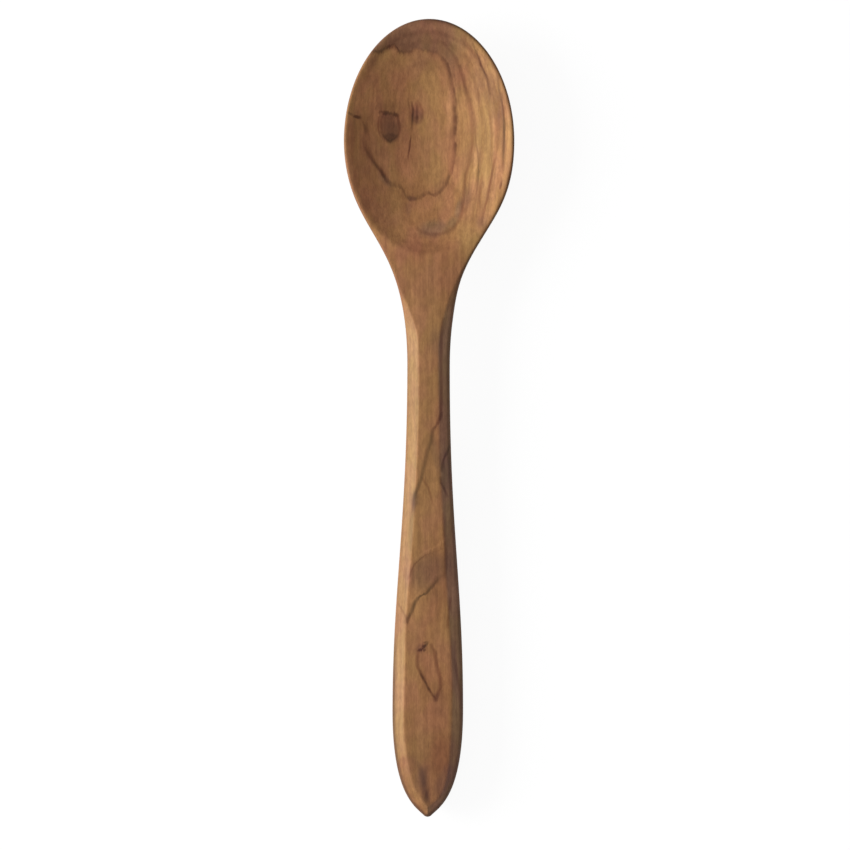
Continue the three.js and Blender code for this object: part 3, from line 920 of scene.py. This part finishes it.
    def fibres(self):
        """Mottle, flecks, fibres and pores, all over."""
        self.tint(MOTTLE, self.span(self.mottle, *MOTTLE_SPAN))
        self.tint(MOTTLE, self.span(self.fleck, *FLECK_SPAN))
        self.tint(FIBRE, self.span(self.coarse, *COARSE_SPAN))
        self.tint(FIBRE, self.span(self.fine, *FINE_SPAN))
        self.tint(PORE, self.pores, PORE_STRENGTH)

    def surface(self):
        """The finished wood: the colour, with a low sheen and the fibres and pores in relief."""
        relief = self.math("MULTIPLY_ADD", self.pores, PORE_DEPTH, self.fine)
        bump = self.add("Bump", {"Strength": BUMP_STRENGTH, "Distance": BUMP_HEIGHT, "Height": relief})
        shader = self.add("BsdfPrincipled", {
            "Base Color": self.colour,
            "Roughness": self.span(self.fine, *ROUGHNESS),
            "Specular IOR Level": GLOSS,
            "Normal": bump,
        })
        self.node("OutputMaterial", {"Surface": shader})


def teak_material():
    teak = bpy.data.materials.new("teak")
    teak.use_nodes = True
    wood = Teak(teak.node_tree)
    wood.broad_tints()
    wood.soft_marks()
    wood.growth_marks()
    wood.fibres()
    wood.surface()
    return teak


spoon.data.materials.append(teak_material())

# Floor: white to the eye, with the spoon's shadow kept
FLOOR_SIZE = 6.0  # in metres, as are all lengths from here on
FLOOR_DROP = 0.1 * MM  # keeps it clear of the handle's flat back
FLOOR_COLOUR = 0.5  # as it throws light back
FLOOR_SHADE = 0.11  # as the eye sees the light and shadow on it
FLOOR_GLOW = 0.925  # and the white that the eye sees besides


def seen(graph):
    """1 for what the camera sees, directly or in gloss or glass."""
    path = graph.node("LightPath", {}).outputs
    return graph.largest([path["Is Camera Ray"], path["Is Glossy Ray"], path["Is Transmission Ray"]])


def paper_material():
    paper = bpy.data.materials.new("paper")
    paper.use_nodes = True
    graph = Graph(paper.node_tree)
    eye = seen(graph)
    matte = graph.add("BsdfDiffuse", {"Color": graph.span(eye, 0, 1, FLOOR_COLOUR, FLOOR_SHADE)})
    white = graph.add("Emission", {"Strength": graph.product(eye, FLOOR_GLOW)})
    graph.node("OutputMaterial", {"Surface": graph.add("AddShader", {0: matte, 1: white})})
    return paper


floor_half = FLOOR_SIZE / 2
floor_plan = ((-1, -1), (1, -1), (1, 1), (-1, 1))
floor_mesh = bpy.data.meshes.new("floor")
floor_corners = [(x * floor_half, y * floor_half, -FLOOR_DROP) for x, y in floor_plan]
floor_mesh.from_pydata(floor_corners, [], [(0, 1, 2, 3)])
floor = bpy.data.objects.new("floor", floor_mesh)
bpy.context.collection.objects.link(floor)
floor.data.materials.append(paper_material())

# Light: a low soft panel on the left, aimed at the spoon's middle, and a pale room
ROOM_LIGHT = 0.4
PANEL_PLACE = (-1.1, 0.05, 0.46)
PANEL_SIZE = (0.9, 0.6)
PANEL_POWER = 20
world = bpy.data.worlds.new("room")
bpy.context.scene.world = world
world.use_nodes = True
room = Graph(world.node_tree)
strength = room.span(seen(room), 0, 1, ROOM_LIGHT, 1.0)
room.node("OutputWorld", {"Surface": room.add("Background", {"Color": (1, 1, 1, 1), "Strength": strength})})

panel = bpy.data.lights.new("key", "AREA")
panel.shape = "RECTANGLE"
panel.size, panel.size_y = PANEL_SIZE
panel.energy = PANEL_POWER
lamp = bpy.data.objects.new("key", panel)
lamp.location = PANEL_PLACE
lamp.rotation_euler = (-lamp.location.normalized()).to_track_quat("-Z", "Y").to_euler()
bpy.context.collection.objects.link(lamp)

# Camera: straight over the spoon, as far as a product photograph is taken
CAMERA_HEIGHT = 3.0
FOCUS_HEIGHT = 12 * MM  # middle of the spoon's upper side
VIEW_WIDTH = 319.5 * MM  # what the picture spans at that height
VIEW_CENTRE = (-1.3 * MM, -2.52 * MM)
VIEW_TURN = math.radians(0.13)
camera = bpy.data.cameras.new("camera")
camera.lens = camera.sensor_width * (CAMERA_HEIGHT - FOCUS_HEIGHT) / VIEW_WIDTH
eye = bpy.data.objects.new("camera", camera)
eye.location = (*VIEW_CENTRE, CAMERA_HEIGHT)
eye.rotation_euler = (0, 0, VIEW_TURN)
bpy.context.collection.objects.link(eye)
bpy.context.scene.camera = eye
bpy.context.scene.view_settings.view_transform = "Standard"
